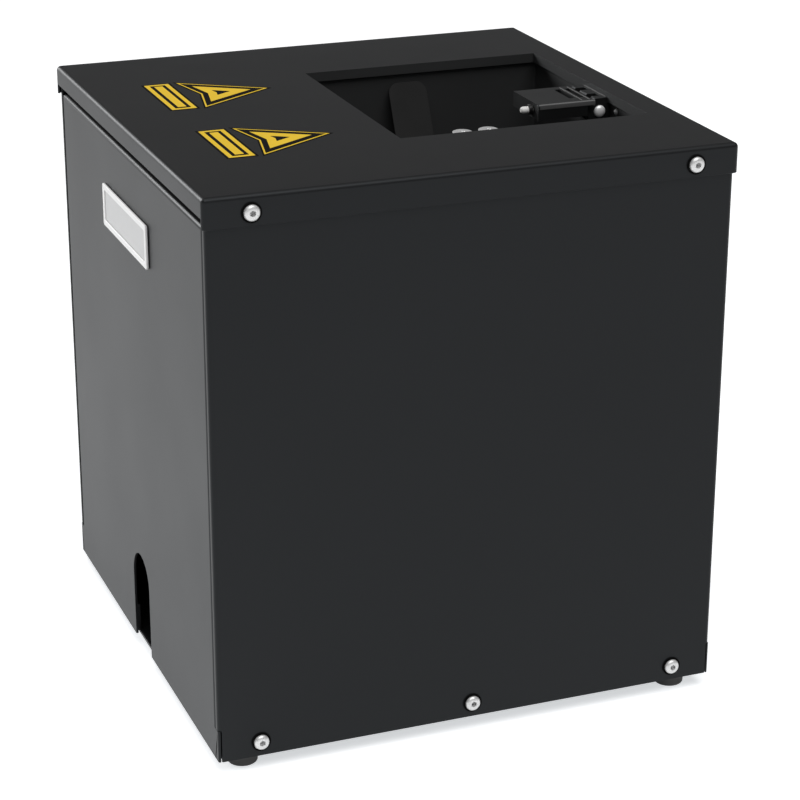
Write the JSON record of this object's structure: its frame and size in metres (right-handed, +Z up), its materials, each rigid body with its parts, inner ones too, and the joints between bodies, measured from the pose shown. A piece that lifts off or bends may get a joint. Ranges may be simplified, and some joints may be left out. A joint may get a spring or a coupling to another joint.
{
  "type": "stage flame machine",
  "caption": "Stage flame machine: black sheet-steel box with a flame outlet in its lid, a hinged electrode carrier, a slot for the gas hose and a recessed connector tray.",
  "frame": {"origin": "on the floor, under the middle of the case", "axes": "+Z up, +X to the right as seen from the front, -Y towards the front cover, the connector tray at +Y"},
  "size_m": [0.27, 0.275, 0.294],
  "materials": {
    "black_paint": "satin",
    "dark_steel": "matte",
    "zinc_steel": "satin",
    "bright_steel": "polished",
    "aluminium": "satin",
    "brass": "satin",
    "rubber": "matte",
    "ceramic": "glazed",
    "black_plastic": "matte",
    "white_plastic": "matte",
    "grey_card": "matte",
    "green_board": "satin",
    "display_pane": "gloss",
    "red_plastic": "gloss"
  },
  "bodies": {
    "machine": {"base_tray": "black_paint", "front_cover": "black_paint", "rear_panel": "black_paint", "left_panel": "black_paint", "right_panel": "black_paint", "top_lid": "black_paint", "foot_front_left": "rubber", "foot_front_right": "rubber", "foot_rear_left": "rubber", "foot_rear_right": "rubber", "lid_screw_front_left": "bright_steel", "lid_screw_front_right": "bright_steel", "front_screw_left": "bright_steel", "front_screw_middle": "bright_steel", "front_screw_right": "bright_steel", "lid_screw_rear_left": "bright_steel", "lid_screw_rear_right": "bright_steel", "rear_screw_left": "bright_steel", "rear_screw_middle": "bright_steel", "rear_screw_right": "bright_steel", "nozzle_cap_left": "bright_steel", "nozzle_cap_right": "bright_steel", "hinge_pin": "bright_steel", "riser_pipe": "bright_steel", "right_screw_front": "dark_steel", "right_screw_rear": "dark_steel", "burner_well": "dark_steel", "burner_block": "dark_steel", "air_guide": "dark_steel", "hinge_bracket": "dark_steel", "connector_tray": "dark_steel", "bulkhead": "zinc_steel", "well_stand": "zinc_steel", "inlet_pipe": "zinc_steel", "data_inlet": "zinc_steel", "data_outlet": "zinc_steel", "key_barrel": "zinc_steel", "gas_tank": "aluminium", "power_supply": "aluminium", "hose_coupler": "brass", "shutoff_valve": "brass", "main_valve": "brass", "valve_coil": "black_plastic", "ignition_transformer": "black_plastic", "power_inlet": "black_plastic", "address_frame": "white_plastic", "address_card": "grey_card", "control_board": "green_board", "display_window": "display_pane"},
    "electrode_arm": {"electrode_carrier": "dark_steel", "electrode_ceramic": "ceramic"},
    "coupler_sleeve": {"coupler_sleeve": "bright_steel"},
    "valve_lever": {"shutoff_lever": "red_plastic"},
    "rocker": {"power_rocker": "red_plastic"},
    "arming_key": {"key_core": "bright_steel", "arming_key": "bright_steel"},
    "button_menu": {"button_menu": "black_plastic"},
    "button_up": {"button_up": "black_plastic"},
    "button_down": {"button_down": "black_plastic"},
    "button_enter": {"button_enter": "black_plastic"}
  },
  "joints": [
    {"name": "carrier_swing", "type": "hinge", "parent": "machine", "child": "electrode_arm", "pos_m": [0.1135, -0.0095, 0.2845], "axis": [0, 1, 0], "range_deg": [0, 60]},
    {"name": "sleeve_slide", "type": "slide", "parent": "machine", "child": "coupler_sleeve", "axis": [1, 0, 0], "range_m": [0, 0.003], "stiffness_N_per_m": 400},
    {"name": "lever_turn", "type": "hinge", "parent": "machine", "child": "valve_lever", "pos_m": [-0.0792, 0.0015, 0.0518], "axis": [0, 0, 1], "range_deg": [-90, 0]},
    {"name": "rocker_tip", "type": "hinge", "parent": "machine", "child": "rocker", "pos_m": [-0.07622, 0.1043, 0.097], "axis": [1, 0, 0], "range_deg": [-16, 0]},
    {"name": "key_turn", "type": "hinge", "parent": "machine", "child": "arming_key", "pos_m": [0.08652, 0.115, 0.084], "axis": [0, 1, 0], "range_deg": [0, 90]},
    {"name": "menu_press", "type": "slide", "parent": "machine", "child": "button_menu", "axis": [0, -1, 0], "range_m": [0, 0.0015], "stiffness_N_per_m": 300},
    {"name": "up_press", "type": "slide", "parent": "machine", "child": "button_up", "axis": [0, -1, 0], "range_m": [0, 0.0015], "stiffness_N_per_m": 300},
    {"name": "down_press", "type": "slide", "parent": "machine", "child": "button_down", "axis": [0, -1, 0], "range_m": [0, 0.0015], "stiffness_N_per_m": 300},
    {"name": "enter_press", "type": "slide", "parent": "machine", "child": "button_enter", "axis": [0, -1, 0], "range_m": [0, 0.0015], "stiffness_N_per_m": 300}
  ]
}
